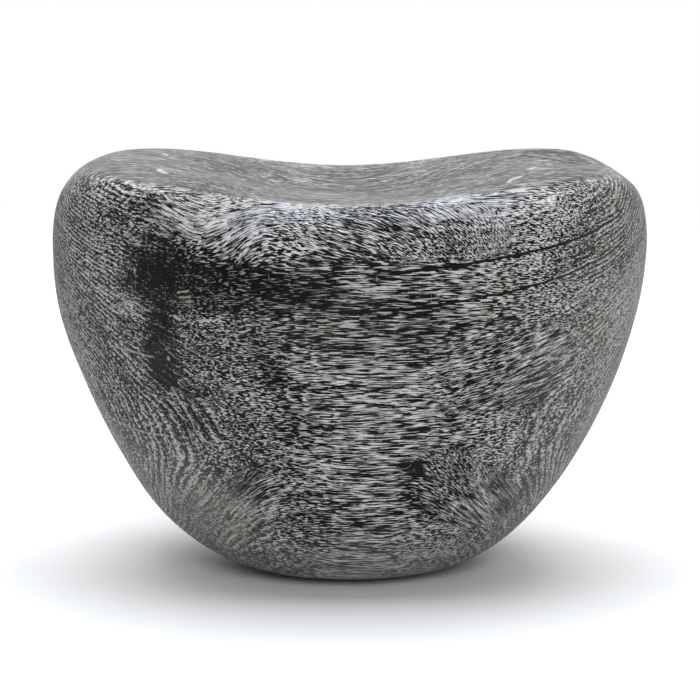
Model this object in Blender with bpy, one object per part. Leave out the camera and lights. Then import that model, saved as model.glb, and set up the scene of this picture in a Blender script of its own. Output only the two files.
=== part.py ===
"""Saddle stool carved from one block of solid wood, on four screw-on felt glides.

Metres, +Z up. The origin is on the floor, under the middle of the stool. The seat's length runs
along X and the front faces -Y.
"""

import math

import bmesh
import bpy
from mathutils import Vector
from mathutils.geometry import interpolate_bezier

# Block, as carved
LENGTH = 0.610  # over the bulge of the two ends
DEPTH = 0.385  # over the bulge of the front and the back
SHOULDER_HEIGHT = 0.425  # floor to the top of either shoulder
SHOULDER_SPACING = 0.466  # between the tops of the two shoulders
RIM_HEIGHT = 0.402  # floor to the middle of the front or back rim
RIM_SPACING = 0.298  # between the crests of the front and back rims
HOLLOW_DEPTH = 0.009  # rim crest down to the middle of the seat
END_BULGE_HEIGHT = 0.343  # where the ends are widest
FRONT_BULGE_HEIGHT = 0.296  # where the front and back stand out furthest
FOOT_LENGTH = 0.204  # flat of the underside, along X
FOOT_DEPTH = 0.176  # flat of the underside, along Y

# How far the bends of the outlines keep their first and their last direction, of their whole reach
END_FLANK_SHARES = (0.47, 0.39)
FRONT_FLANK_SHARES = (0.60, 0.30)
END_SHOULDER_SHARES = (0.80, 0.57)
FRONT_RIM_SHARES = (0.58, 0.50)

# How square the plan is, from 0 for an ellipse to 1 for a rectangle
FOOT_SQUARE_SHARE = 0.0
BULGE_SQUARE_SHARE = 0.149
CREST_SQUARE_SHARE = 0.394
HOLLOW_SQUARE_SHARE = 0.0

LOOP_POINTS = 80
FLANK_LOOPS = 16
RIM_LOOPS = 12  # from the bulge to the crest of the front rim
SEAT_LOOPS = 12
SHOULDER_INSET_LOOPS = 3  # loops by which the top of a shoulder lies inside the rim's crest

# Glides
GLIDE_SPACING_X = 0.124
GLIDE_SPACING_Y = 0.092
FELT_DIAMETER = 0.028
FELT_HOLE_DIAMETER = 0.0134
FELT_THICKNESS = 0.0030
CUP_FLOOR = 0.0020
CUP_SKIRT_WALL = 0.0012
CUP_SKIRT_DROP = 0.0012  # how far the skirt and the boss reach down beside the felt
CUP_BEVEL = 0.0004
GLIDE_POINTS = 32

# Glide screws, countersunk
SCREW_SHANK_DIAMETER = 0.0040
SCREW_HEAD_DIAMETER = 0.0080
SCREW_HEAD_EDGE = 0.0003  # the straight rim below the head's cone
SCREW_LENGTH = 0.0260
SCREW_POINT = 0.0060
SCREW_THREAD_PITCH = 0.0018
SCREW_THREAD_DEPTH = 0.0005
SCREW_THREAD_LENGTH = 0.0150
RECESS_SPAN = 0.0044  # the cross recess, over its arms
RECESS_SLOT = 0.0011
RECESS_DEPTH = 0.0014
SCREW_POINTS = 16

# Fits
SEAT_GAP = 0.0003  # between pieces that rest on or in each other
PILOT_END_ROOM = 0.0010  # left past the screw's point
CUT_OVERRUN = 0.0020  # how far a cutter stands out of what it cuts
MERGE_DISTANCE = 0.000001

CUP_UNDER = FELT_THICKNESS + SEAT_GAP
CUP_TOP = CUP_UNDER + CUP_FLOOR
CUP_BOTTOM = CUP_UNDER - CUP_SKIRT_DROP
FOOT_HEIGHT = CUP_TOP + SEAT_GAP
SCREW_BOTTOM = CUP_BOTTOM + SEAT_GAP
SCREW_HEAD_HEIGHT = SCREW_HEAD_EDGE + (SCREW_HEAD_DIAMETER - SCREW_SHANK_DIAMETER) / 2


def clear_scene():
    for found in list(bpy.data.objects):
        bpy.data.objects.remove(found)


def finish(name, color, roughness, metallic=0.0):
    material = bpy.data.materials.new(name)
    material.use_nodes = True
    shader = material.node_tree.nodes["Principled BSDF"]
    shader.inputs["Base Color"].default_value = (*color, 1.0)
    shader.inputs["Roughness"].default_value = roughness
    shader.inputs["Metallic"].default_value = metallic
    return material


def object_from(name, bm, material=None):
    """The bmesh as a named object with outward faces, shaded smooth except at its edges."""
    bmesh.ops.recalc_face_normals(bm, faces=bm.faces)
    mesh = bpy.data.meshes.new(name)
    bm.to_mesh(mesh)
    bm.free()
    mesh.shade_smooth()
    mesh.set_sharp_from_angle(angle=math.radians(35))
    if material:
        mesh.materials.append(material)
    made = bpy.data.objects.new(name, mesh)
    bpy.context.scene.collection.objects.link(made)
    return made


def cut(target, cutter):
    """Takes the cutter out of the target, and leaves the cutter itself out of the model."""
    cutter.hide_render = True
    cutter.display_type = "WIRE"
    boolean = target.modifiers.new(cutter.name, "BOOLEAN")
    boolean.operation = "DIFFERENCE"
    boolean.solver = "EXACT"
    boolean.use_self = True
    boolean.object = cutter


def bend(start, end, starts_upright, shares, count):
    """Points of a quarter bend in (reach, height), without its first one.

    One end of the bend is upright and the other level. The shares say how far its two ends keep
    their direction, of the whole change in height or in reach.
    """
    reach = end[0] - start[0]
    height = end[1] - start[1]
    if starts_upright:
        first = (start[0], start[1] + height * shares[0])
        last = (end[0] - reach * shares[1], end[1])
    else:
        first = (start[0] + reach * shares[0], start[1])
        last = (end[0], end[1] - height * shares[1])
    knots = [Vector((*point, 0)) for point in (start, first, last, end)]
    return [(point.x, point.y) for point in interpolate_bezier(*knots, count + 1)[1:]]


def swing(share):
    """A smooth climb from 0 to 1, level at both ends."""
    return math.sin(math.pi / 2 * share) ** 2


def hollow_out(crest, floor, count):
    """Points from a crest of the seat to its middle, level at both, without the first one."""
    points = []
    for step in range(1, count + 1):
        share = 1 - step / count
        points.append((crest[0] * share, floor + (crest[1] - floor) * swing(share)))
    return points


def outline(foot, bulge, crest, floor, flank_shares, crest_shares, inset_loops):
    """Half of a section through the block, from the foot's edge over the bulge and crest to the middle."""
    points = [foot]
    points += bend(foot, bulge, False, flank_shares, FLANK_LOOPS)
    points += bend(bulge, crest, True, crest_shares, RIM_LOOPS + inset_loops)
    points += hollow_out(crest, floor, SEAT_LOOPS - inset_loops)
    return points


def block_outlines():
    """The lengthwise and the crosswise half section, with as many (reach, height) points each."""
    floor = RIM_HEIGHT - HOLLOW_DEPTH
    lengthwise = outline(
        (FOOT_LENGTH / 2, FOOT_HEIGHT),
        (LENGTH / 2, END_BULGE_HEIGHT),
        (SHOULDER_SPACING / 2, SHOULDER_HEIGHT),
        floor,
        END_FLANK_SHARES,
        END_SHOULDER_SHARES,
        SHOULDER_INSET_LOOPS,
    )
    crosswise = outline(
        (FOOT_DEPTH / 2, FOOT_HEIGHT),
        (DEPTH / 2, FRONT_BULGE_HEIGHT),
        (RIM_SPACING / 2, RIM_HEIGHT),
        floor,
        FRONT_FLANK_SHARES,
        FRONT_RIM_SHARES,
        0,
    )
    return lengthwise, crosswise


def oval_power(square_share):
    """The power in an oval's formula: 2 for an ellipse, and higher the squarer it is."""
    return 2 / (1 - square_share)


def plan_power(loop):
    """The power of a loop, which changes ever faster from each named level to the next."""
    levels = (
        (FLANK_LOOPS, FOOT_SQUARE_SHARE, BULGE_SQUARE_SHARE),
        (RIM_LOOPS, BULGE_SQUARE_SHARE, CREST_SQUARE_SHARE),
        (SEAT_LOOPS, CREST_SQUARE_SHARE, HOLLOW_SQUARE_SHARE),
    )
    for loops, low, high in levels:
        if loop <= loops:
            return oval_power(low) + (oval_power(high) - oval_power(low)) * (loop / loops) ** 2
        loop -= loops
    return oval_power(HOLLOW_SQUARE_SHARE)


def block_loop(bm, end, side, power, in_seat):
    """One loop round the block, an oval in plan that climbs from the side's height to the end's.

    The climb levels out towards the end, but turns into a plain bowl as in_seat goes from 0 to 1.
    """
    verts = []
    for i in range(LOOP_POINTS):
        angle = math.tau * i / LOOP_POINTS
        along, across = math.cos(angle), math.sin(angle)
        spread = (abs(along) ** power + abs(across) ** power) ** (-1 / power)
        share = along * spread
        climb = swing(share) * (1 - in_seat) + share**2 * in_seat
        height = side[1] + (end[1] - side[1]) * climb
        verts.append(bm.verts.new((end[0] * share, side[0] * across * spread, height)))
    return verts


def make_block(wood):
    lengthwise, crosswise = block_outlines()
    bm = bmesh.new()
    loops = []
    for k, (end, side) in enumerate(zip(lengthwise[:-1], crosswise[:-1], strict=True)):
        in_seat = max(0, k - FLANK_LOOPS - RIM_LOOPS) / SEAT_LOOPS
        loops.append(block_loop(bm, end, side, plan_power(k), in_seat))
    middle = bm.verts.new((0.0, 0.0, lengthwise[-1][1]))
    bm.faces.new(loops[0])
    for i in range(LOOP_POINTS):
        j = (i + 1) % LOOP_POINTS
        for lower, upper in zip(loops[:-1], loops[1:], strict=True):
            bm.faces.new((lower[i], lower[j], upper[j], upper[i]))
        bm.faces.new((loops[-1][i], loops[-1][j], middle))
    return object_from("wood_block", bm, wood)


def turned(name, profile, points, material=None):
    """A solid turned about Z from (radius, height) points: a plug if they start on Z, else a ring."""
    bm = bmesh.new()
    verts = [bm.verts.new((radius, 0.0, height)) for radius, height in profile]
    edges = [bm.edges.new(pair) for pair in zip(verts[:-1], verts[1:], strict=True)]
    if profile[0][0] > 0:
        edges.append(bm.edges.new((verts[-1], verts[0])))
    bmesh.ops.spin(
        bm, geom=verts + edges, axis=(0, 0, 1), cent=(0, 0, 0), angle=math.tau, steps=points, use_merge=True
    )
    bmesh.ops.remove_doubles(bm, verts=bm.verts, dist=MERGE_DISTANCE)
    return object_from(name, bm, material)


def make_cup(name, nylon):
    """The moulded cup: a disc with a skirt round the felt and a boss round the screw's head."""
    skirt_in = FELT_DIAMETER / 2 + SEAT_GAP
    skirt_out = skirt_in + CUP_SKIRT_WALL
    boss_out = FELT_HOLE_DIAMETER / 2 - SEAT_GAP
    bore = SCREW_SHANK_DIAMETER / 2 + SEAT_GAP
    sink = SCREW_HEAD_DIAMETER / 2 + SEAT_GAP
    profile = [
        (bore, CUP_TOP),
        (skirt_out - CUP_BEVEL, CUP_TOP),
        (skirt_out, CUP_TOP - CUP_BEVEL),
        (skirt_out, CUP_BOTTOM + CUP_BEVEL),
        (skirt_out - CUP_BEVEL, CUP_BOTTOM),
        (skirt_in, CUP_BOTTOM),
        (skirt_in, CUP_UNDER),
        (boss_out, CUP_UNDER),
        (boss_out, CUP_BOTTOM + CUP_BEVEL),
        (boss_out - CUP_BEVEL, CUP_BOTTOM),
        (sink, CUP_BOTTOM),
        (sink, SCREW_BOTTOM + SCREW_HEAD_EDGE),
        (bore, SCREW_BOTTOM + SCREW_HEAD_HEIGHT),
    ]
    return turned(name, profile, GLIDE_POINTS, nylon)


def make_felt(name, felt):
    """The felt ring that stands on the floor, pushed up into its cup."""
    profile = [
        (FELT_HOLE_DIAMETER / 2, 0.0),
        (FELT_DIAMETER / 2, 0.0),
        (FELT_DIAMETER / 2, FELT_THICKNESS),
        (FELT_HOLE_DIAMETER / 2, FELT_THICKNESS),
    ]
    return turned(name, profile, GLIDE_POINTS, felt)


def screw_profile():
    """Half of the screw from the middle of its head to its point, with a ridge for each turn of thread."""
    shank = SCREW_SHANK_DIAMETER / 2
    core = shank - SCREW_THREAD_DEPTH
    tip = SCREW_BOTTOM + SCREW_LENGTH
    thread_start = tip - SCREW_POINT - SCREW_THREAD_LENGTH
    profile = [
        (0.0, SCREW_BOTTOM),
        (SCREW_HEAD_DIAMETER / 2, SCREW_BOTTOM),
        (SCREW_HEAD_DIAMETER / 2, SCREW_BOTTOM + SCREW_HEAD_EDGE),
        (shank, SCREW_BOTTOM + SCREW_HEAD_HEIGHT),
        (shank, thread_start - SCREW_THREAD_DEPTH),
    ]
    for turn in range(int(SCREW_THREAD_LENGTH / SCREW_THREAD_PITCH)):
        root = thread_start + turn * SCREW_THREAD_PITCH
        profile += [(core, root), (shank, root + SCREW_THREAD_PITCH / 2)]
    profile += [(core, tip - SCREW_POINT), (0.0, tip)]
    return profile


def make_recess(name):
    """The cutter of the cross recess in a screw's head: two crossed bars."""
    bm = bmesh.new()
    height = RECESS_DEPTH + CUT_OVERRUN
    for spans in ((RECESS_SPAN, RECESS_SLOT), (RECESS_SLOT, RECESS_SPAN)):
        bar = bmesh.ops.create_cube(bm, size=1.0)["verts"]
        bmesh.ops.scale(bm, vec=(*spans, height), verts=bar)
        bmesh.ops.translate(bm, vec=(0, 0, SCREW_BOTTOM + RECESS_DEPTH - height / 2), verts=bar)
    return object_from(name, bm)


def make_pilot(name):
    """The cutter of one pilot hole, drilled up into the block with a cone at its end."""
    radius = SCREW_SHANK_DIAMETER / 2 + SEAT_GAP
    top = SCREW_BOTTOM + SCREW_LENGTH + PILOT_END_ROOM
    profile = [
        (0.0, FOOT_HEIGHT - CUT_OVERRUN),
        (radius, FOOT_HEIGHT - CUT_OVERRUN),
        (radius, top - radius),
        (0.0, top),
    ]
    return turned(name, profile, SCREW_POINTS)


def glide_centres():
    """The four places under the foot, by name."""
    centres = {}
    for row, y in (("front", -GLIDE_SPACING_Y / 2), ("back", GLIDE_SPACING_Y / 2)):
        for side, x in (("left", -GLIDE_SPACING_X / 2), ("right", GLIDE_SPACING_X / 2)):
            centres[f"{row}_{side}"] = Vector((x, y, 0.0))
    return centres


def main():
    clear_scene()
    wood = finish("blackened_wood", (0.16, 0.16, 0.158), 0.55)
    nylon = finish("black_nylon", (0.03, 0.03, 0.03), 0.5)
    felt = finish("grey_felt", (0.16, 0.15, 0.14), 0.95)
    steel = finish("zinc_steel", (0.62, 0.62, 0.60), 0.35, 1.0)

    block = make_block(wood)
    for place, centre in glide_centres().items():
        glide = bpy.data.objects.new(f"glide_{place}", None)
        glide.location = centre
        bpy.context.scene.collection.objects.link(glide)

        pilot = make_pilot(f"pilot_cutter_{place}")
        cut(block, pilot)
        screw = turned(f"glide_screw_{place}", screw_profile(), SCREW_POINTS, steel)
        recess = make_recess(f"recess_cutter_{place}")
        cut(screw, recess)
        cup = make_cup(f"glide_cup_{place}", nylon)
        ring = make_felt(f"glide_felt_{place}", felt)
        for piece in (pilot, screw, recess, cup, ring):
            piece.parent = glide


main()
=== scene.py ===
import math

import bmesh
import bpy
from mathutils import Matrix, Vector


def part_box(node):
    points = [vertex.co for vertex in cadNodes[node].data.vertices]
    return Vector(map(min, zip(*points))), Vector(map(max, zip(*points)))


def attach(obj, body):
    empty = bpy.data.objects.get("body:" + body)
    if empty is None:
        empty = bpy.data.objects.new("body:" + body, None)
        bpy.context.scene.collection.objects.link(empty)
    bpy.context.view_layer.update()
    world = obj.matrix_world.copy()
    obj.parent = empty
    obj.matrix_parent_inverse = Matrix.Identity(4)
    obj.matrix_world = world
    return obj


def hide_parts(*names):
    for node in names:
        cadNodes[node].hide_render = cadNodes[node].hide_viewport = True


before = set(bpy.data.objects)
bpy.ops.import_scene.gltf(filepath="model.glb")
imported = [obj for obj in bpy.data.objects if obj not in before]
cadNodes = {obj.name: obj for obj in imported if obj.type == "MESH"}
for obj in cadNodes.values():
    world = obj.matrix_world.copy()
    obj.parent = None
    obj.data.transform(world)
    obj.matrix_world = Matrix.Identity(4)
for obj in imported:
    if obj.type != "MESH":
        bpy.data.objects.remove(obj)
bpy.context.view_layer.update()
places = ("front_left", "front_right", "back_left", "back_right")


# Small helpers for modelling

def deselectAll():
    if bpy.context.mode != "OBJECT":
        bpy.ops.object.mode_set(mode="OBJECT")
    bpy.ops.object.select_all(action="DESELECT")


def workOn(piece):
    deselectAll()
    piece.select_set(True)
    bpy.context.view_layer.objects.active = piece


def pick(piece, kind, wanted):
    # Selects the verts, edges or faces of the piece in edit mode for which wanted is true
    mesh = bmesh.from_edit_mesh(piece.data)
    for part in (*mesh.faces, *mesh.edges, *mesh.verts):
        part.select_set(False)
    for part in {"VERT": mesh.verts, "EDGE": mesh.edges, "FACE": mesh.faces}[kind]:
        if wanted(part):
            part.select_set(True)
    bmesh.update_edit_mesh(piece.data)


def editing(piece, kind="VERT"):
    workOn(piece)
    bpy.ops.object.mode_set(mode="EDIT")
    bpy.ops.mesh.select_mode(type=kind)
    bpy.ops.mesh.select_all(action="DESELECT")


def addModifier(piece, name, kind, **settings):
    # Adds a modifier and applies it
    workOn(piece)
    added = piece.modifiers.new(name, kind)
    for setting, value in settings.items():
        setattr(added, setting, value)
    bpy.ops.object.modifier_apply(modifier=added.name)


def settle(piece):
    # Puts the piece's place into its mesh
    workOn(piece)
    bpy.ops.object.transform_apply(location=True, rotation=True, scale=True)


def dress(piece, material):
    piece.data.materials.clear()
    piece.data.materials.append(material)


# Small helpers for shading

def feed(tree, socket, value):
    if isinstance(value, bpy.types.NodeSocket):
        tree.links.new(value, socket)
    elif value is not None:
        socket.default_value = value


def calc(tree, operation, *values, clamp=False):
    made = tree.nodes.new("ShaderNodeMath")
    made.operation = operation
    made.use_clamp = clamp
    for socket, value in zip(made.inputs, values):
        feed(tree, socket, value)
    return made.outputs[0]


def vectorCalc(tree, operation, first, second=None, scale=None):
    made = tree.nodes.new("ShaderNodeVectorMath")
    made.operation = operation
    feed(tree, made.inputs[0], first)
    if second is not None:
        feed(tree, made.inputs[1], second)
    if scale is not None:
        feed(tree, made.inputs["Scale"], scale)
    return made.outputs["Value" if operation in ("LENGTH", "DOT_PRODUCT") else "Vector"]


def split(tree, vector):
    made = tree.nodes.new("ShaderNodeSeparateXYZ")
    feed(tree, made.inputs[0], vector)
    return made.outputs


def join(tree, x, y, z):
    made = tree.nodes.new("ShaderNodeCombineXYZ")
    for socket, value in zip(made.inputs, (x, y, z)):
        feed(tree, socket, value)
    return made.outputs[0]


def noise(tree, vector, scale, detail=2.0, roughness=0.5, extra=None, output="Fac"):
    made = tree.nodes.new("ShaderNodeTexNoise")
    made.noise_dimensions = "3D" if extra is None else "4D"
    feed(tree, made.inputs["Vector"], vector)
    if extra is not None:
        feed(tree, made.inputs["W"], extra)
    feed(tree, made.inputs["Scale"], scale)
    feed(tree, made.inputs["Detail"], detail)
    made.inputs["Roughness"].default_value = roughness
    return made.outputs[output]


def remap(tree, value, low, high, outLow=0.0, outHigh=1.0, smooth=True):
    # A smooth step stays between its ends by itself, so it needs no clamp, which costs room in a long shader
    made = tree.nodes.new("ShaderNodeMapRange")
    made.interpolation_type = "SMOOTHSTEP" if smooth else "LINEAR"
    made.clamp = False
    names = ("Value", "From Min", "From Max", "To Min", "To Max")
    for name, given in zip(names, (value, low, high, outLow, outHigh)):
        feed(tree, made.inputs[name], given)
    return made.outputs["Result"]


def blendNumbers(tree, share, first, second):
    return remap(tree, share, 0.0, 1.0, first, second, smooth=False)


def gap(tree, first, second):
    # How far two numbers lie apart
    return calc(tree, "ABSOLUTE", calc(tree, "SUBTRACT", first, second))


def highest(tree, masks):
    # The highest of several masks, each taken in as soon as it is made, so that a long list needs little room
    top = None
    for mask in masks:
        top = mask if top is None else calc(tree, "MAXIMUM", top, mask)
    return top


def blendColors(tree, share, first, second, how="MIX"):
    made = tree.nodes.new("ShaderNodeMix")
    made.data_type = "RGBA"
    made.blend_type = how
    feed(tree, made.inputs["Factor"], share)
    feed(tree, made.inputs[6], first)
    feed(tree, made.inputs[7], second)
    return made.outputs[2]


def blendShaders(tree, share, first, second):
    made = tree.nodes.new("ShaderNodeMixShader")
    for socket, value in zip(made.inputs, (share, first, second)):
        feed(tree, socket, value)
    return made.outputs[0]


def newGroup(name, inputs, outputs):
    # A shader group with named sockets: its tree, the sockets that come in and those that go out
    kinds = {"vector": "NodeSocketVector", "number": "NodeSocketFloat", "color": "NodeSocketColor"}
    group = bpy.data.node_groups.new(name, "ShaderNodeTree")
    for socketName, kind, value in inputs:
        group.interface.new_socket(socketName, in_out="INPUT", socket_type=kinds[kind]).default_value = value
    for socketName, kind in outputs:
        group.interface.new_socket(socketName, in_out="OUTPUT", socket_type=kinds[kind])
    return group, group.nodes.new("NodeGroupInput").outputs, group.nodes.new("NodeGroupOutput").inputs


def useGroup(tree, group, **values):
    made = tree.nodes.new("ShaderNodeGroup")
    made.node_tree = group
    for name, value in values.items():
        feed(tree, made.inputs[name], value)
    return made.outputs


def addBump(tree, shader, height, strength, distance):
    bump = tree.nodes.new("ShaderNodeBump")
    bump.inputs["Strength"].default_value = strength
    bump.inputs["Distance"].default_value = distance
    feed(tree, bump.inputs["Height"], height)
    feed(tree, shader.inputs["Normal"], bump.outputs[0])


def newMaterial(name):
    material = bpy.data.materials.new(name)
    material.use_nodes = True
    tree = material.node_tree
    shader = tree.nodes["Principled BSDF"]
    place = tree.nodes.new("ShaderNodeTexCoord").outputs["Object"]
    return material, tree, shader, place


# Effects that the materials share

def speckleGroup():
    # Fine grain: a mix of two noises, from 0 to 1
    tree, given, out = newGroup(
        "fineSpeckle",
        [("Place", "vector", (0, 0, 0)), ("Size", "number", 0.001), ("Contrast", "number", 1.0)],
        [("Speckle", "number")],
    )
    scale = calc(tree, "DIVIDE", 1.0, given["Size"])
    fine = noise(tree, given["Place"], scale, 3.0, 0.6)
    coarse = noise(tree, given["Place"], calc(tree, "MULTIPLY", scale, 0.21), 2.0)
    both = calc(tree, "ADD", calc(tree, "MULTIPLY", fine, 0.65), calc(tree, "MULTIPLY", coarse, 0.35))
    spread = calc(tree, "MULTIPLY", calc(tree, "SUBTRACT", both, 0.5), given["Contrast"])
    feed(tree, out["Speckle"], calc(tree, "ADD", spread, 0.5, clamp=True))
    return tree


def dustGroup():
    # Pale dust that gathers close to the floor
    tree, given, out = newGroup(
        "floorDust",
        [("Place", "vector", (0, 0, 0)), ("Height", "number", 0.02), ("Amount", "number", 0.5)],
        [("Dust", "number")],
    )
    low = remap(tree, split(tree, given["Place"])["Z"], given["Height"], 0.0)
    patchy = remap(tree, noise(tree, given["Place"], 90.0, 4.0, 0.6), 0.35, 0.7)
    feed(tree, out["Dust"], calc(tree, "MULTIPLY", calc(tree, "MULTIPLY", low, patchy), given["Amount"]))
    return tree


def raggedGroup():
    # Shifts places a little, so that a mark drawn on them gets a ragged edge
    tree, given, out = newGroup(
        "raggedPlace",
        [("Place", "vector", (0, 0, 0)), ("Amount", "number", 0.01), ("Size", "number", 0.01)],
        [("Place", "vector")],
    )
    wobble = noise(tree, given["Place"], calc(tree, "DIVIDE", 1.0, given["Size"]), 3.0, 0.6, output="Color")
    shift = vectorCalc(tree, "SUBTRACT", wobble, (0.5, 0.5, 0.5))
    shift = vectorCalc(tree, "SCALE", shift, scale=given["Amount"])
    feed(tree, out["Place"], vectorCalc(tree, "ADD", given["Place"], shift))
    return tree


def markGroup():
    # A mark along the line between two points: a stain, a filled check or a dab of filler
    tree, given, out = newGroup(
        "handMark",
        [
            ("Place", "vector", (0, 0, 0)),
            ("Start", "vector", (0, 0, 0)),
            ("End", "vector", (0, 0, 0.01)),
            ("Reach", "number", 0.01),
            ("Softness", "number", 0.5),
        ],
        [("Mark", "number")],
    )
    line = vectorCalc(tree, "SUBTRACT", given["End"], given["Start"])
    reached = vectorCalc(tree, "SUBTRACT", given["Place"], given["Start"])
    share = vectorCalc(tree, "DOT_PRODUCT", reached, line)
    share = calc(tree, "DIVIDE", share, vectorCalc(tree, "DOT_PRODUCT", line, line))
    along = calc(tree, "MAXIMUM", calc(tree, "MINIMUM", share, 1.0), 0.0)
    nearest = vectorCalc(tree, "SCALE", line, scale=along)
    away = vectorCalc(tree, "LENGTH", vectorCalc(tree, "SUBTRACT", reached, nearest))
    inner = calc(tree, "MULTIPLY", given["Reach"], calc(tree, "SUBTRACT", 1.0, given["Softness"]))
    feed(tree, out["Mark"], remap(tree, away, given["Reach"], inner))
    return tree


def pullGroup():
    # Draws the grain aside round one point, as it runs round a hollow or a lost branch
    tree, given, out = newGroup(
        "grainPull",
        [
            ("Place", "vector", (0, 0, 0)),
            ("Grain", "vector", (0, 0, 0)),
            ("Centre", "vector", (0, 0, 0)),
            ("Reach", "vector", (0.1, 0.1, 0.1)),
            ("Pull", "vector", (0, 0, 0)),
        ],
        [("Grain", "vector")],
    )
    offset = vectorCalc(tree, "SUBTRACT", given["Place"], given["Centre"])
    offset = vectorCalc(tree, "DIVIDE", offset, given["Reach"])
    away = vectorCalc(tree, "DOT_PRODUCT", offset, offset)
    fall = calc(tree, "EXPONENT", calc(tree, "MULTIPLY", away, -1.0))
    shift = vectorCalc(tree, "SCALE", given["Pull"], scale=fall)
    feed(tree, out["Grain"], vectorCalc(tree, "SUBTRACT", given["Grain"], shift))
    return tree


def ringGroup():
    # Growth rings round the pith, which runs along X behind the stool: the place as seen from the pith,
    # and the distance from it
    tree, given, out = newGroup(
        "growthRings",
        [
            ("Grain", "vector", (0, 0, 0)),
            ("Pith", "vector", (0, 0, 0)),
            ("Drift", "number", 0.0),
            ("Flatness", "number", 1.0),
            ("Wander", "number", 0.005),
        ],
        [("Trunk", "vector"), ("Radius", "number")],
    )
    x, y, z = split(tree, vectorCalc(tree, "SUBTRACT", given["Grain"], given["Pith"]))
    behind = calc(tree, "SUBTRACT", y, calc(tree, "MULTIPLY", x, given["Drift"]))
    trunk = join(tree, x, behind, z)
    away = vectorCalc(tree, "LENGTH", join(tree, 0.0, calc(tree, "MULTIPLY", behind, given["Flatness"]), z))
    slow = noise(tree, vectorCalc(tree, "MULTIPLY", trunk, (6.0, 13.0, 13.0)), 1.0, 2.0)
    wander = calc(tree, "MULTIPLY", calc(tree, "SUBTRACT", slow, 0.5), given["Wander"])
    feed(tree, out["Trunk"], trunk)
    feed(tree, out["Radius"], calc(tree, "ADD", away, wander))
    return tree


def sheetGroup():
    # Thin sheets that follow the growth rings: lines where the surface cuts them, and patches where it
    # lies along them
    tree, given, out = newGroup(
        "ringSheets",
        [
            ("Trunk", "vector", (0, 0, 0)),
            ("Radius", "number", 0.2),
            ("Length", "number", 0.1),
            ("Breadth", "number", 0.02),
            ("Thickness", "number", 0.003),
            ("Detail", "number", 1.0),
        ],
        [("Sheet", "number")],
    )
    across = calc(tree, "DIVIDE", 1.0, given["Breadth"])
    stretch = join(tree, calc(tree, "DIVIDE", 1.0, given["Length"]), across, across)
    flat = vectorCalc(tree, "MULTIPLY", given["Trunk"], stretch)
    turns = calc(tree, "DIVIDE", given["Radius"], given["Thickness"])
    feed(tree, out["Sheet"], noise(tree, flat, 1.0, given["Detail"], 0.7, extra=turns))
    return tree


def fibreGroup():
    # Wood fibres that run along X: streaks on the flanks, dots where the surface cuts across them
    tree, given, out = newGroup(
        "fibreStreaks",
        [
            ("Trunk", "vector", (0, 0, 0)),
            ("Length", "number", 0.02),
            ("Width", "number", 0.003),
            ("Detail", "number", 1.0),
        ],
        [("Streak", "number")],
    )
    across = calc(tree, "DIVIDE", 1.0, given["Width"])
    stretch = join(tree, calc(tree, "DIVIDE", 1.0, given["Length"]), across, across)
    flat = vectorCalc(tree, "MULTIPLY", given["Trunk"], stretch)
    feed(tree, out["Streak"], noise(tree, flat, 1.0, given["Detail"], 0.75))
    return tree


def poreGroup():
    # Evenly spread pores that run along X: dashes on the flanks, dots where the surface cuts across them
    tree, given, out = newGroup(
        "woodPores",
        [("Trunk", "vector", (0, 0, 0)), ("Length", "number", 0.02), ("Spacing", "number", 0.003)],
        [("Pore", "number")],
    )
    across = calc(tree, "DIVIDE", 1.0, given["Spacing"])
    stretch = join(tree, calc(tree, "DIVIDE", 1.0, given["Length"]), across, across)
    cells = tree.nodes.new("ShaderNodeTexVoronoi")
    cells.inputs["Scale"].default_value = 1.0
    feed(tree, cells.inputs["Vector"], vectorCalc(tree, "MULTIPLY", given["Trunk"], stretch))
    fromMiddle = calc(tree, "MULTIPLY", cells.outputs["Distance"], 0.6)
    feed(tree, out["Pore"], calc(tree, "SUBTRACT", 0.77, fromMiddle))  # pale in the middle of each pore
    return tree


speckle = speckleGroup()
floorDust = dustGroup()
raggedPlace = raggedGroup()
handMark = markGroup()
grainPull = pullGroup()
growthRings = ringGroup()
ringSheets = sheetGroup()
fibreStreaks = fibreGroup()
woodPores = poreGroup()
print("shared effects are ready")


# The wood: stained black, with light grey lime left in its open grain

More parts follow.
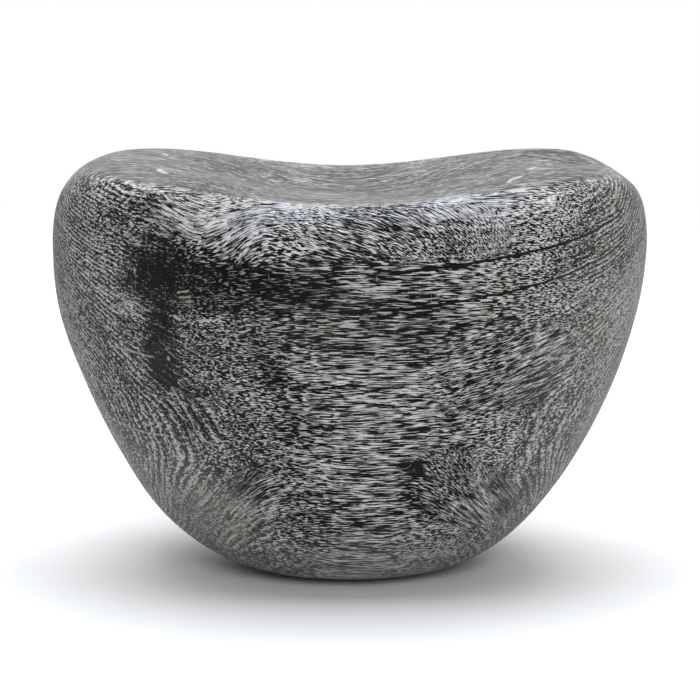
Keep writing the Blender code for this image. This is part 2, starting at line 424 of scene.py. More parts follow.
wood = {
    "black": (0.003, 0.003, 0.0034, 1),
    "brownBlack": (0.010, 0.0085, 0.008, 1),
    "lime": (0.62, 0.62, 0.61, 1),
    "warmLime": (0.58, 0.555, 0.52, 1),
    # lime tinted bluish for the painted sheen along the roll
    "paintedSheenLime": (0.56, 0.57, 0.61, 1),
    # the grey the seat is drawn toward, which lifts its black and dims its lime: partly wear, partly a
    # painted grazing sheen
    "seatWearAndSheen": (0.070, 0.068, 0.064, 1),
    "wiped": (0.15, 0.15, 0.145, 1),  # the grey left where the stain was wiped off
    "wipedWarm": (0.250, 0.230, 0.208, 1),
    "filler": (0.52, 0.50, 0.42, 1),
    "filledCheck": (0.34, 0.32, 0.27, 1),
    "pith": (0.0, 0.30, 0.186),  # the middle of the trunk, behind the stool
    "drift": 0.03,  # how far the pith moves back for each metre to the right
    "flatness": 0.47,  # below 1, the rings are longer from front to back than from top to bottom
    "ringWander": 0.012,  # how far the rings stray from a smooth curve
    "ringSpacing": 0.0029,
    "darkLine": (0.25, 0.16),  # its place in each ring and how far it reaches, in shares of a ring
    "paleLine": (0.70, 0.20),
    "lineCore": 0.02,  # out to here, these lines are at full strength
    "lineShown": (28.0, 0.32, 0.55),  # scale of the patches with such lines, and the levels of their edges
    "ringLines": (0.075, 0.09),  # how much less lime the dark lines hold, and how much more the pale ones do
    "lineBlack": 0.5,  # how much black the dark lines add
    "seatRings": 0.35,  # how much of the ring lines the seat shows
    "blackRing": (0.03, 0.06, 0.3),  # how far the black rings fade in and out, and how much lime they take
    "fibreSwing": 0.5,  # how strongly the fibres curve back on the right, in metres for each square metre
    "swingHeights": (0.37, 0.29),  # this sets in downwards between these heights
    "fibreCurl": (0.0026, 0.022),  # how far the fibres stray from straight, and the size of that
    "bendSoftness": 0.7,
    "bendFade": (0.1, 0.9),  # how strong a bend is where its streaks set in, and where there are no others
    "streak": (0.019, 0.00105, 0.7),  # length, width and detail of the streaks along the flanks
    "bentStreak": (0.014, 0.00092, 0.8),  # the same where the fibres bend
    "seatStreak": (0.080, 0.0026, 2.5),  # and on the seat
    "thinStreak": (0.012, 0.0007, 1.0),  # and of the fine lines where the lime is thin
    "pore": (0.010, 0.0017),  # length and spacing of the pores
    "endSheet": (0.014, 0.0031, 0.0007, 0.5),  # length, breadth, thickness and detail of the lime at the ends
    "bandSheet": (0.08, 0.030, 0.0035, 1.0),  # the same for the broad bands that hold more or less lime
    "endPores": 0.5,  # how much of the grain at the ends is pores
    "seatPores": 0.4,  # and on the seat
    "endMiddle": 0.025,  # where along X the flank's middle lies, between the ends
    "endLength": (0.11, 0.65),  # about half of the block's length: at the floor, and more for each metre up
    "endFade": (0.40, 0.95),  # where an end begins and where it is full, in shares of that length
    "offPith": (0.08, 0.17),  # how far over or under the pith the grain is cut across too
    "cutAcross": (0.1, 0.9),  # the least and the most that is taken as cut across
    "broadEdge": (0.045, 0.03),  # how ragged broad areas are, and the size of that
    "unevenEdge": (0.020, 0.012),  # the same for stains and bends
    "frayedEdge": (0.006, 0.005),  # for dabs of filler
    "crookedEdge": (0.0025, 0.006),  # and for checks
    "limeShare": 0.476,
    "limeEdge": (0.065, 0.10),  # how softly the lime ends, on the flanks and at the ends
    "limeClouds": (12.0, 0.016),  # scale of the slow changes in the lime, and how much they add or take
    "limeBands": 0.03,  # how much the broad bands add or take
    "stainCover": 0.11,  # how much less lime the strongest stain leaves
    "stainThins": 0.75,  # how much it thins the lime that is left
    "thinLime": (0.32, 0.56, 0.60),  # the levels of the fine lines' edges, and how much they thin the lime
    "warmPatches": (14.0, 0.4, 0.7),  # scale of the warmer patches, and the levels of their edges
    "seatLength": 0.268,  # half of the seat's plan, out to the crest of the rim
    "seatDepth": 0.142,
    "seatPower": 3.0,  # 2 is an oval, and more is squarer
    "seatFade": (1.08, 0.95),  # where the seat begins and where it is full, in shares of that plan
    "seatHeights": (0.33, 0.37),  # it begins over these heights, so that the foot isn't taken for it
    # how much the seat is drawn to that grey, least and most, and the scale of its patches: partly wear,
    # partly painted sheen
    "seatWearAndSheenShare": (0.32, 0.50),
    "wearAndSheenPatches": 20.0,
    "paintedRollSheen": ((-0.118, -0.169, 0.390), (0.148, -0.151, 0.409), 0.030),  # painted sheen, a bluish reflection of the overhead light painted along the roll: start, end, reach
    "wipedFoot": (0.09, 0.02),  # the heights between which the stain is wiped off all round
    "wipedCorner": (0.24, 0.10),  # the same at the ends
    "wipedLow": 0.34,  # how much is wiped off there
    "wipedEnds": (0.10, 0.30),  # how much is wiped off higher up at the ends, left and right
    "warmSide": (-0.1, 0.25),  # where along X the wiped parts turn warmer
    "dab": (0.5, 0.7),  # softness and strength
    "check": (0.0016, 0.6, 0.75),  # reach, softness and strength
    "scratchStretch": (70.0, 70.0, 10.0),  # scale along each axis, so that scratches run upright
    "scratchWidth": 0.010,
    "scratchPatches": (60.0, 0.60, 0.70),
    "scratchStrength": 0.4,
    "gloss": 0.07,
    "roughness": (0.38, 0.20, 0.12),  # of the bare wood, and how much the lime and the grit add
    "grit": (0.0012, 1.0),  # size and contrast
    "gritHeight": 0.4,
    "poreDepth": 0.6,
    "poreEdge": (0.43, 0.57),  # the levels that the edge of a pore lies between
    "relief": (0.5, 0.0003),  # strength and depth
}

# Where the fibres bend on both sides of a middle: start, end, reach, middle, bend (above 0 downwards, below 0
# upwards), how far they lean back with it, and how far they hide the end grain there
bends = [
    ((-0.100, -0.170, 0.374), (0.130, -0.168, 0.380), 0.042, -0.055, 1.7, 0.9, 0.0),
    ((-0.210, -0.138, 0.392), (-0.150, -0.158, 0.390), 0.036, -0.100, -3.9, 0.9, 0.0),
    ((0.095, -0.152, 0.128), (0.150, -0.105, 0.085), 0.058, 0.045, 6.6, -0.88, 0.70),
    ((0.110, -0.175, 0.238), (0.190, -0.148, 0.245), 0.062, 0.000, -1.0, 0.6, 0.45),
    ((-0.090, -0.150, 0.105), (-0.155, -0.105, 0.080), 0.054, -0.050, 8.5, -0.87, 0.55),
]

# Where the grain is drawn aside: the place, how far that reaches, and the way it is drawn
pulls = [
    ((-0.085, -0.155, 0.385), (0.050, 0.080, 0.030), (0, 0, 0.022)),
]

# Dark stain left on the front: start, end, reach, softness, strength
stains = [
    ((-0.192, -0.161, 0.335), (-0.110, -0.182, 0.325), 0.050, 0.75, 0.88),
    ((-0.182, -0.163, 0.325), (-0.182, -0.152, 0.250), 0.034, 0.9, 0.8),
    ((-0.110, -0.184, 0.325), (-0.030, -0.191, 0.322), 0.042, 0.9, 0.85),
    ((-0.150, -0.180, 0.280), (0.060, -0.188, 0.300), 0.085, 1.0, 0.38),
    ((-0.150, -0.150, 0.200), (-0.060, -0.170, 0.170), 0.090, 1.0, 0.22),
    ((0.150, -0.130, 0.120), (0.163, -0.100, 0.085), 0.022, 1.0, 0.35),
    ((-0.120, -0.140, 0.115), (-0.090, -0.155, 0.120), 0.024, 1.0, 0.40),
    ((-0.086, -0.180, 0.262), (-0.070, -0.178, 0.235), 0.026, 1.0, 0.7),
    ((-0.190, -0.150, 0.262), (-0.181, -0.150, 0.232), 0.019, 0.5, 0.85),
    ((-0.100, -0.160, 0.150), (-0.092, -0.158, 0.138), 0.018, 1.0, 0.6),
    ((0.056, -0.168, 0.148), (0.066, -0.166, 0.140), 0.012, 0.8, 0.9),
]

# Lime left thicker or thinner under the rim: start, end, reach, how much. The first two rows, along the roll,
# are partly lime and partly a painted highlight where the overhead light's sheen falls
limeAndRollSheen = [
    ((-0.150, -0.165, 0.395), (-0.030, -0.160, 0.395), 0.040, 0.05),
    ((0.080, -0.155, 0.400), (0.200, -0.140, 0.405), 0.040, 0.04),
    ((-0.060, -0.150, 0.090), (0.120, -0.150, 0.090), 0.080, -0.035),
    ((-0.010, -0.175, 0.370), (0.090, -0.175, 0.370), 0.045, -0.05),
    ((0.285, -0.060, 0.340), (0.250, -0.110, 0.200), 0.080, 0.02),
    ((0.090, -0.160, 0.150), (0.150, -0.140, 0.250), 0.090, -0.045),
]

# Small dabs of cream filler: start, end, reach
dabs = [
    ((-0.194, 0.066, 0.4226), (-0.190, 0.058, 0.4226), 0.0030),
    ((-0.191, -0.046, 0.4224), (-0.190, -0.054, 0.4220), 0.0040),
    ((-0.190, -0.054, 0.4220), (-0.184, -0.062, 0.4215), 0.0052),
    ((-0.0345, -0.141, 0.4028), (-0.0305, -0.141, 0.4028), 0.0020),
    ((0.1570, -0.098, 0.4175), (0.1615, -0.086, 0.4188), 0.0028),
    ((0.1615, -0.086, 0.4188), (0.1700, -0.078, 0.4198), 0.0034),
    ((0.1820, -0.034, 0.4219), (0.1890, -0.020, 0.4219), 0.0036),
    ((-0.1780, -0.157, 0.2540), (-0.1770, -0.157, 0.2500), 0.0015),
    ((0.0160, -0.191, 0.3260), (0.0190, -0.191, 0.3250), 0.0016),
    ((-0.1705, -0.1673, 0.2961), (-0.1655, -0.1687, 0.2920), 0.0019),
    ((-0.1462, -0.1752, 0.2933), (-0.1265, -0.1805, 0.2953), 0.0017),
]

# Hairline checks, each as the points that it runs through
checks = [
    [(-0.1670, -0.1707, 0.3196), (-0.1566, -0.1740, 0.3224)],
    [(-0.1646, -0.1712, 0.3153), (-0.1547, -0.1743, 0.3164)],
    [(-0.1588, -0.1727, 0.3111), (-0.1528, -0.1746, 0.3120)],
    [(-0.238, -0.1205, 0.257), (-0.212, -0.139, 0.254), (-0.196, -0.148, 0.251)],
    [
        (-0.250, -0.063, 0.1756), (-0.2375, -0.080, 0.170), (-0.221, -0.098, 0.167), (-0.202, -0.116, 0.166),
        (-0.181, -0.131, 0.167),
    ],
    [(-0.188, -0.114, 0.141), (-0.188, -0.107, 0.128), (-0.189, -0.0965, 0.113), (-0.190, -0.075, 0.089)],
    [
        (-0.175, -0.151, 0.2206), (-0.158, -0.151, 0.191), (-0.151, -0.149, 0.173), (-0.142, -0.150, 0.1655),
        (-0.123, -0.156, 0.161),
    ],
    [(0.265, -0.073, 0.4157), (0.266, -0.089, 0.408), (0.264, -0.1005, 0.400), (0.259, -0.110, 0.391)],
]

# Black lines along single growth rings: the distance from the pith, the width, and where along X they end
blackRings = [
    (0.279, 0.0010, 0.02, 0.30),
    (0.262, 0.0008, -0.02, 0.30),
]


def grains(tree, place, size, contrast):
    return useGroup(tree, speckle, Place=place, Size=size, Contrast=contrast)["Speckle"]


def ragged(tree, place, amount, size):
    return useGroup(tree, raggedPlace, Place=place, Amount=amount, Size=size)["Place"]


def streaks(tree, along, length, width, detail):
    made = useGroup(tree, fibreStreaks, Trunk=along, Length=length, Width=width, Detail=detail)
    return made["Streak"]


def sheets(tree, at, length, breadth, thickness, detail):
    made = useGroup(
        tree, ringSheets, Trunk=at["trunk"], Radius=at["radius"], Length=length, Breadth=breadth,
        Thickness=thickness, Detail=detail,
    )
    return made["Sheet"]


def mark(tree, place, start, end, reach, softness):
    made = useGroup(tree, handMark, Place=place, Start=start, End=end, Reach=reach, Softness=softness)
    return made["Mark"]


def seatMask(tree, at):
    # The seat, inside the crest of the rim
    along = calc(tree, "ABSOLUTE", at["x"])
    along = calc(tree, "POWER", calc(tree, "DIVIDE", along, wood["seatLength"]), wood["seatPower"])
    across = calc(tree, "ABSOLUTE", at["y"])
    across = calc(tree, "POWER", calc(tree, "DIVIDE", across, wood["seatDepth"]), wood["seatPower"])
    inside = remap(tree, calc(tree, "ADD", along, across), *wood["seatFade"])
    return calc(tree, "MULTIPLY", inside, remap(tree, at["z"], *wood["seatHeights"]))


def swungFibres(tree, at):
    # The fibres run along X, and below the rim they swing back a little to the right
    swing = calc(tree, "POWER", calc(tree, "MAXIMUM", at["x"], 0.0), 2.0)
    swing = calc(tree, "MULTIPLY", swing, wood["fibreSwing"])
    swing = calc(tree, "MULTIPLY", swing, remap(tree, at["z"], *wood["swingHeights"]))
    return vectorCalc(tree, "SUBTRACT", at["trunk"], join(tree, 0.0, swing, 0.0))


def bentFibres(tree, at):
    # Where the fibres bend, their shifted places, and where they hide the end grain
    drop = retreat = bending = hidden = 0.0
    for start, end, reach, middle, bend, lean, hiding in bends:
        there = mark(tree, at["uneven"], start, end, reach, wood["bendSoftness"])
        aside = calc(tree, "SUBTRACT", at["x"], middle)
        bowed = calc(tree, "MULTIPLY", calc(tree, "MULTIPLY", aside, aside), bend)
        bowed = calc(tree, "MULTIPLY", bowed, calc(tree, "GREATER_THAN", there, 0.0))
        drop = calc(tree, "ADD", drop, bowed)
        retreat = calc(tree, "ADD", retreat, calc(tree, "MULTIPLY", bowed, lean))
        bending = calc(tree, "MAXIMUM", bending, there)
        hidden = calc(tree, "MAXIMUM", hidden, calc(tree, "MULTIPLY", there, hiding))
    bent = vectorCalc(tree, "ADD", at["curled"], join(tree, 0.0, retreat, drop))
    return bending, bent, hidden


def endMasks(tree, at, hidden):
    # How near a place is to one of the ends, and how much of the grain there is cut across
    lengthAtFloor, growth = wood["endLength"]
    halfLength = calc(tree, "ADD", calc(tree, "MULTIPLY", at["z"], growth), lengthAtFloor)
    fromMiddle = gap(tree, split(tree, at["broad"])["X"], wood["endMiddle"])
    toEnd = remap(tree, calc(tree, "DIVIDE", fromMiddle, halfLength), *wood["endFade"])
    offPith = gap(tree, at["z"], wood["pith"][2])
    cutAcross = calc(tree, "MAXIMUM", toEnd, remap(tree, offPith, *wood["offPith"]))
    cutAcross = calc(tree, "MULTIPLY", cutAcross, remap(tree, toEnd, 0.0, 0.5))
    cutAcross = remap(tree, cutAcross, 0.0, 1.0, *wood["cutAcross"])
    return toEnd, calc(tree, "MULTIPLY", cutAcross, calc(tree, "SUBTRACT", 1.0, hidden))


def ringLines(tree, at, shown):
    # Dark and pale lines along the growth rings
    turn = calc(tree, "FRACT", calc(tree, "DIVIDE", at["radius"], wood["ringSpacing"]))
    scale, low, high = wood["lineShown"]
    drawn = remap(tree, noise(tree, at["trunk"], scale, 1.0), low, high)
    drawn = calc(tree, "MULTIPLY", drawn, shown)
    middle, reach = wood["darkLine"]
    dark = remap(tree, gap(tree, turn, middle), reach, wood["lineCore"])
    middle, reach = wood["paleLine"]
    pale = remap(tree, gap(tree, turn, middle), reach, wood["lineCore"])
    return calc(tree, "MULTIPLY", dark, drawn), calc(tree, "MULTIPLY", pale, drawn)


def limeLevel(tree, at, darkLine, paleLine, onSeat):
    # How much lime the wood holds from place to place, with a painted highlight along the roll under the rim
    scale, swing = wood["limeClouds"]
    cloud = remap(tree, noise(tree, at["place"], scale, 3.0, 0.6), 0.3, 0.7, -swing, swing)
    swing = wood["limeBands"]
    banded = remap(tree, sheets(tree, at, *wood["bandSheet"]), 0.3, 0.7, -swing, swing)
    level = calc(tree, "ADD", calc(tree, "ADD", cloud, banded), wood["limeShare"] - 0.5)
    less, more = wood["ringLines"]
    level = calc(tree, "SUBTRACT", level, calc(tree, "MULTIPLY", darkLine, less))
    level = calc(tree, "ADD", level, calc(tree, "MULTIPLY", paleLine, more))
    # the first two marks add a painted highlight along the roll as well as lime
    for start, end, reach, lift in limeAndRollSheen:
        lifted = calc(tree, "MULTIPLY", mark(tree, at["broad"], start, end, reach, 1.0), lift)
        level = calc(tree, "ADD", level, lifted)
    fadingIn, fadingOut, drop = wood["blackRing"]
    for radius, width, left, right in blackRings:
        near = remap(tree, gap(tree, at["radius"], radius), width, 0.0)
        there = remap(tree, at["x"], left, left + fadingIn)
        there = calc(tree, "MULTIPLY", there, remap(tree, at["x"], right, right - fadingOut))
        there = calc(tree, "MULTIPLY", there, calc(tree, "SUBTRACT", 1.0, onSeat))
        near = calc(tree, "MULTIPLY", near, there)
        level = calc(tree, "SUBTRACT", level, calc(tree, "MULTIPLY", near, drop))
    return level


def stainMask(tree, at):
    found = (
        calc(tree, "MULTIPLY", mark(tree, at["uneven"], start, end, reach, softness), strength)
        for start, end, reach, softness, strength in stains
    )
    return highest(tree, found)


def woodColor(tree, at, lime, darkLine, stained, onSeat):
    # Black wood with pale lime in it: the roll under the rim gets a painted bluish sheen of the overhead
    # light, and the seat is drawn toward an even grey, partly wear and partly a painted grazing sheen
    scale, low, high = wood["warmPatches"]
    warm = remap(tree, noise(tree, at["place"], scale, 3.0, 0.6), low, high)
    darkWood = blendColors(tree, warm, wood["black"], wood["brownBlack"])
    paleWood = blendColors(tree, warm, wood["lime"], wood["warmLime"])
    # Painted sheen: the lime along the roll is tinted bluish where the overhead light would be reflected
    sheen = mark(tree, at["broad"], *wood["paintedRollSheen"], 1.0)
    paleWood = blendColors(tree, sheen, paleWood, wood["paintedSheenLime"])
    low, high, thinned = wood["thinLime"]
    thin = remap(tree, streaks(tree, at["curled"], *wood["thinStreak"]), low, high, thinned, 0.0)
    thin = calc(tree, "MAXIMUM", thin, calc(tree, "MULTIPLY", stained, wood["stainThins"]))
    paleWood = blendColors(tree, thin, paleWood, wood["brownBlack"])
    color = blendColors(tree, lime, darkWood, paleWood)
    color = blendColors(tree, calc(tree, "MULTIPLY", darkLine, wood["lineBlack"]), color, wood["black"])
    # The seat is drawn toward an even grey: partly wear, partly a painted grazing sheen
    wornAndSheen = noise(tree, at["place"], wood["wearAndSheenPatches"], 3.0, 0.6)
    wornAndSheen = remap(tree, wornAndSheen, 0.3, 0.7, *wood["seatWearAndSheenShare"])
    return blendColors(tree, calc(tree, "MULTIPLY", onSeat, wornAndSheen), color, wood["seatWearAndSheen"])


def wipedColor(tree, at, color, toEnd):
    # Greyer where the stain was wiped off, low down and at the ends, and warmer to the right
    low = remap(tree, at["z"], *wood["wipedFoot"])
    toRight = remap(tree, at["x"], *wood["warmSide"])
    wipedEnd = calc(tree, "MULTIPLY", toEnd, blendNumbers(tree, toRight, *wood["wipedEnds"]))
    lowEnd = remap(tree, at["z"], *wood["wipedCorner"])
    lowEnd = calc(tree, "MULTIPLY", lowEnd, calc(tree, "POWER", toEnd, 2.0))
    wipedLow = calc(tree, "MAXIMUM", lowEnd, low)
    wiped = calc(tree, "MAXIMUM", wipedEnd, calc(tree, "MULTIPLY", wipedLow, wood["wipedLow"]))
    tint = blendColors(tree, calc(tree, "MAXIMUM", toRight, wipedLow), wood["wiped"], wood["wipedWarm"])
    return blendColors(tree, wiped, color, tint)


def mendedColor(tree, at, color):
    # Dabs of filler, and hairline checks that the lime has filled
    frayed = ragged(tree, at["place"], *wood["frayedEdge"])
    softness, strength = wood["dab"]
    found = (mark(tree, frayed, start, end, reach, softness) for start, end, reach in dabs)
    dabbed = calc(tree, "MULTIPLY", highest(tree, found), strength)
    color = blendColors(tree, dabbed, color, wood["filler"])
    crooked = ragged(tree, at["place"], *wood["crookedEdge"])
    lines = [line for points in checks for line in zip(points, points[1:])]
    reached, faded, filled = wood["check"]
    found = (mark(tree, crooked, start, end, reached, faded) for start, end in lines)
    checked = calc(tree, "MULTIPLY", highest(tree, found), filled)
    return blendColors(tree, checked, color, wood["filledCheck"])


def scratchedColor(tree, at, color):
    # Sparse fine scratches, most of them upright
    stretched = vectorCalc(tree, "MULTIPLY", at["place"], wood["scratchStretch"])
    contour = noise(tree, stretched, 1.0, 1.0)
    fine = remap(tree, gap(tree, contour, 0.5), wood["scratchWidth"], 0.0)
    scale, low, high = wood["scratchPatches"]
    sparse = remap(tree, noise(tree, at["place"], scale, 1.0), low, high)
    scratched = calc(tree, "MULTIPLY", calc(tree, "MULTIPLY", fine, sparse), wood["scratchStrength"])
    return blendColors(tree, scratched, color, wood["lime"])


def makeWood():
    material, tree, shader, place = newMaterial("limedBlackWood")
    grain = place
    for centre, reach, pull in pulls:
        drawn = useGroup(tree, grainPull, Place=place, Grain=grain, Centre=centre, Reach=reach, Pull=pull)
        grain = drawn["Grain"]
    rings = useGroup(
        tree, growthRings, Grain=grain, Pith=wood["pith"], Drift=wood["drift"], Flatness=wood["flatness"],
        Wander=wood["ringWander"],
    )
    at = {"place": place, "trunk": rings["Trunk"], "radius": rings["Radius"]}  # what the steps below read
    at["broad"] = ragged(tree, place, *wood["broadEdge"])
    at["x"], at["y"], at["z"] = split(tree, place)
    onSeat = seatMask(tree, at)

    # The grain: streaks along the flanks and dots and thin sheets at the ends
    fibres = swungFibres(tree, at)
    at["curled"] = ragged(tree, fibres, *wood["fibreCurl"])
    straight = streaks(tree, at["curled"], *wood["streak"])
    poreLength, poreSpacing = wood["pore"]
    pores = useGroup(tree, woodPores, Trunk=fibres, Length=poreLength, Spacing=poreSpacing)["Pore"]
    at["uneven"] = ragged(tree, place, *wood["unevenEdge"])
    bending, bent, hidden = bentFibres(tree, at)
    bentStreaks = streaks(tree, bent, *wood["bentStreak"])
    straight = remap(tree, bending, *wood["bendFade"], straight, bentStreaks)
    toEnd, acrossEnd = endMasks(tree, at, hidden)
    endGrain = blendNumbers(tree, wood["endPores"], sheets(tree, at, *wood["endSheet"]), pores)
    streak = blendNumbers(tree, acrossEnd, straight, endGrain)
    softness = blendNumbers(tree, acrossEnd, *wood["limeEdge"])
    seatGrain = streaks(tree, at["curled"], *wood["seatStreak"])
    seatGrain = blendNumbers(tree, wood["seatPores"], seatGrain, pores)
    streak = blendNumbers(tree, onSeat, streak, seatGrain)

    # The lime in it
    shown = calc(tree, "MAXIMUM", acrossEnd, calc(tree, "MULTIPLY", onSeat, wood["seatRings"]))
    darkLine, paleLine = ringLines(tree, at, shown)
    level = limeLevel(tree, at, darkLine, paleLine, onSeat)
    stained = stainMask(tree, at)
    level = calc(tree, "SUBTRACT", level, calc(tree, "MULTIPLY", stained, wood["stainCover"]))
    level = calc(tree, "ADD", streak, level)
    lime = remap(tree, level, calc(tree, "SUBTRACT", 0.5, softness), calc(tree, "ADD", 0.5, softness))

    color = woodColor(tree, at, lime, darkLine, stained, onSeat)
    color = wipedColor(tree, at, color, toEnd)
    color = mendedColor(tree, at, color)
    feed(tree, shader.inputs["Base Color"], scratchedColor(tree, at, color))
    shader.inputs["Specular IOR Level"].default_value = wood["gloss"]
    grit = grains(tree, place, *wood["grit"])
    bare, fromLime, fromGrit = wood["roughness"]
    rough = calc(tree, "ADD", calc(tree, "MULTIPLY", lime, fromLime), calc(tree, "MULTIPLY", grit, fromGrit))
    feed(tree, shader.inputs["Roughness"], calc(tree, "ADD", rough, bare))
    sunk = remap(tree, streak, *wood["poreEdge"])  # the pores lie a little deeper than the wood between them
    raised = calc(tree, "MULTIPLY", grit, wood["gritHeight"])
    height = calc(tree, "SUBTRACT", raised, calc(tree, "MULTIPLY", sunk, wood["poreDepth"]))
    addBump(tree, shader, height, *wood["relief"])
    return material


# The block: the CAD's cage, smoothed and slightly uneven as carved by hand

block = {
    "smoothSteps": 2,  # each one splits every face in four
    "footEase": 0.0025,  # the eased edge of the sawn foot
    "waveDepth": 0.0006,  # shallow waves left by the carver, all inwards
    "waveLength": 0.06,
    "pilotRadius": 0.0023,  # the holes for the glides' screws, which a closed foot replaces
    "uneven": [  # where the hand carving departs from the even shape: near, move, reach
        ((-0.025, 0.150, 0.402), (0, 0, -0.0036), 0.190),
        ((0.236, 0.030, 0.414), (0, 0, -0.0098), 0.085),
        ((0.300, 0.0, 0.385), (0.0010, 0, 0.0010), 0.030),
        ((-0.304, 0.0, 0.350), (0.0020, 0, 0), 0.050),
        ((-0.292, 0.0, 0.265), (-0.0036, 0, 0), 0.080),
        ((-0.190, 0.0, 0.060), (-0.0048, 0, 0), 0.100),
    ],
}


def makeBlock(material):
    cage = cadNodes["wood_block"]
    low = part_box("wood_block")[0]
    made = bpy.data.objects.new("carved_block", cage.data.copy())
    bpy.context.scene.collection.objects.link(made)
    editing(made)
    bpy.ops.mesh.select_all(action="SELECT")
    bpy.ops.mesh.remove_doubles(threshold=0.00001)

    # The foot's face and the pilot holes come out, and a plain face with an eased edge goes in
    pilots = pilotPlaces()
    pick(made, "FACE", lambda f: max(v.co.z for v in f.verts) < low.z + 0.00001 or inPilot(f, pilots))
    bpy.ops.mesh.delete(type="FACE")
    bpy.ops.mesh.select_mode(type="FACE")
    bpy.ops.mesh.select_all(action="SELECT")
    bpy.ops.mesh.tris_convert_to_quads(face_threshold=math.radians(60), shape_threshold=math.radians(60))
    bpy.ops.mesh.select_mode(type="EDGE")
    pick(made, "EDGE", lambda e: e.is_boundary)
    bpy.ops.mesh.edge_face_add()
    bpy.ops.mesh.select_mode(type="FACE")
    pick(made, "FACE", lambda f: len(f.verts) > 20)
    bpy.ops.mesh.inset(thickness=block["footEase"])
    bpy.ops.mesh.select_all(action="SELECT")
    bpy.ops.mesh.normals_make_consistent(inside=False)
    bpy.ops.mesh.select_mode(type="VERT")
    for near, move, reach in block["uneven"]:
        spot = Vector(near)
        corners = bmesh.from_edit_mesh(made.data).verts
        closest = min(corners, key=lambda v: (v.co - spot).length)
        pick(made, "VERT", lambda v: v == closest)
        bpy.ops.transform.translate(
            value=move, use_proportional_edit=True, proportional_edit_falloff="SMOOTH",
            proportional_size=reach,
        )
    bpy.ops.object.mode_set(mode="OBJECT")

    steps = block["smoothSteps"]
    addModifier(made, "smoothing", "SUBSURF", levels=steps, render_levels=steps)
    waves = bpy.data.textures.new("carvingWaves", "CLOUDS")
    waves.noise_scale = block["waveLength"]
    waves.noise_depth = 1
    addModifier(
        made, "carving", "DISPLACE", texture=waves, strength=block["waveDepth"], mid_level=1.0,
        texture_coords="LOCAL",
    )
    workOn(made)
    bpy.ops.object.shade_smooth()
    bpy.ops.object.shade_smooth_by_angle(angle=math.radians(40))
    dress(made, material)
    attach(made, "root")
    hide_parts("wood_block")
    return made


def pilotPlaces():
    # The middle of each screw, and the height over its point
    boxes = [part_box(f"glide_screw_{place}") for place in places]
    return [((low.x + high.x) / 2, (low.y + high.y) / 2, high.z + 0.01) for low, high in boxes]


def inPilot(face, pilots):
    # True for a face of one of the four small holes bored up into the foot
    middle = face.calc_center_median()
    near = 2 * block["pilotRadius"]
    return any(middle.z < top and math.hypot(middle.x - x, middle.y - y) < near for x, y, top in pilots)


woodMaterial = makeWood()
carvedBlock = makeBlock(woodMaterial)
print("the block is carved:", len(carvedBlock.data.polygons), "faces")


# The glides

felt = {
    "edge": 0.0005,  # how much its edges are rounded
    "color": (0.16, 0.15, 0.14, 1),
    "paleFibre": (0.27, 0.26, 0.245, 1),
    "dust": (0.42, 0.40, 0.37, 1),
    "dustReach": (0.002, 0.5),  # how high up the dust reaches, and how much there is
    "fibres": (0.0005, 1.8),  # size and contrast
    "roughness": 0.95,
    "sheen": 0.4,
    "relief": (1.0, 0.0004),  # strength and depth
}
nylon = {
    "color": (0.022, 0.022, 0.023, 1),
    "paleGrain": (0.040, 0.040, 0.041, 1),
    "dust": (0.30, 0.29, 0.27, 1),
    "dustReach": (0.006, 0.35),
    "grain": (0.0004, 1.4),
    "roughness": (0.42, 0.62),
    "relief": (0.6, 0.0001),
}
steel = {
    "color": (0.55, 0.56, 0.57, 1),
    "warmCrystal": (0.70, 0.69, 0.64, 1),
    "crystals": (0.0009, 1.6),
    "roughness": (0.26, 0.44),
    "relief": (0.3, 0.00005),
}


def dusted(tree, place, height, amount):
    return useGroup(tree, floorDust, Place=place, Height=height, Amount=amount)["Dust"]


def makeFeltMaterial():
    material, tree, shader, place = newMaterial("pressedFelt")
    fibres = grains(tree, place, *felt["fibres"])
    dust = dusted(tree, place, *felt["dustReach"])
    color = blendColors(tree, fibres, felt["color"], felt["paleFibre"])
    feed(tree, shader.inputs["Base Color"], blendColors(tree, dust, color, felt["dust"]))
    shader.inputs["Roughness"].default_value = felt["roughness"]
    shader.inputs["Sheen Weight"].default_value = felt["sheen"]
    addBump(tree, shader, fibres, *felt["relief"])
    return material


def makeNylonMaterial():
    material, tree, shader, place = newMaterial("mouldedNylon")
    grain = grains(tree, place, *nylon["grain"])
    dust = dusted(tree, place, *nylon["dustReach"])
    color = blendColors(tree, grain, nylon["color"], nylon["paleGrain"])
    feed(tree, shader.inputs["Base Color"], blendColors(tree, dust, color, nylon["dust"]))
    feed(tree, shader.inputs["Roughness"], remap(tree, grain, 0.2, 0.8, *nylon["roughness"]))
    addBump(tree, shader, grain, *nylon["relief"])
    return material


def makeSteelMaterial():
    material, tree, shader, place = newMaterial("zincPlatedSteel")
    crystals = grains(tree, place, *steel["crystals"])
    color = blendColors(tree, crystals, steel["color"], steel["warmCrystal"])
    feed(tree, shader.inputs["Base Color"], color)
    feed(tree, shader.inputs["Roughness"], remap(tree, crystals, 0.2, 0.8, *steel["roughness"]))
    shader.inputs["Metallic"].default_value = 1.0
    addBump(tree, shader, crystals, *steel["relief"])
    return material


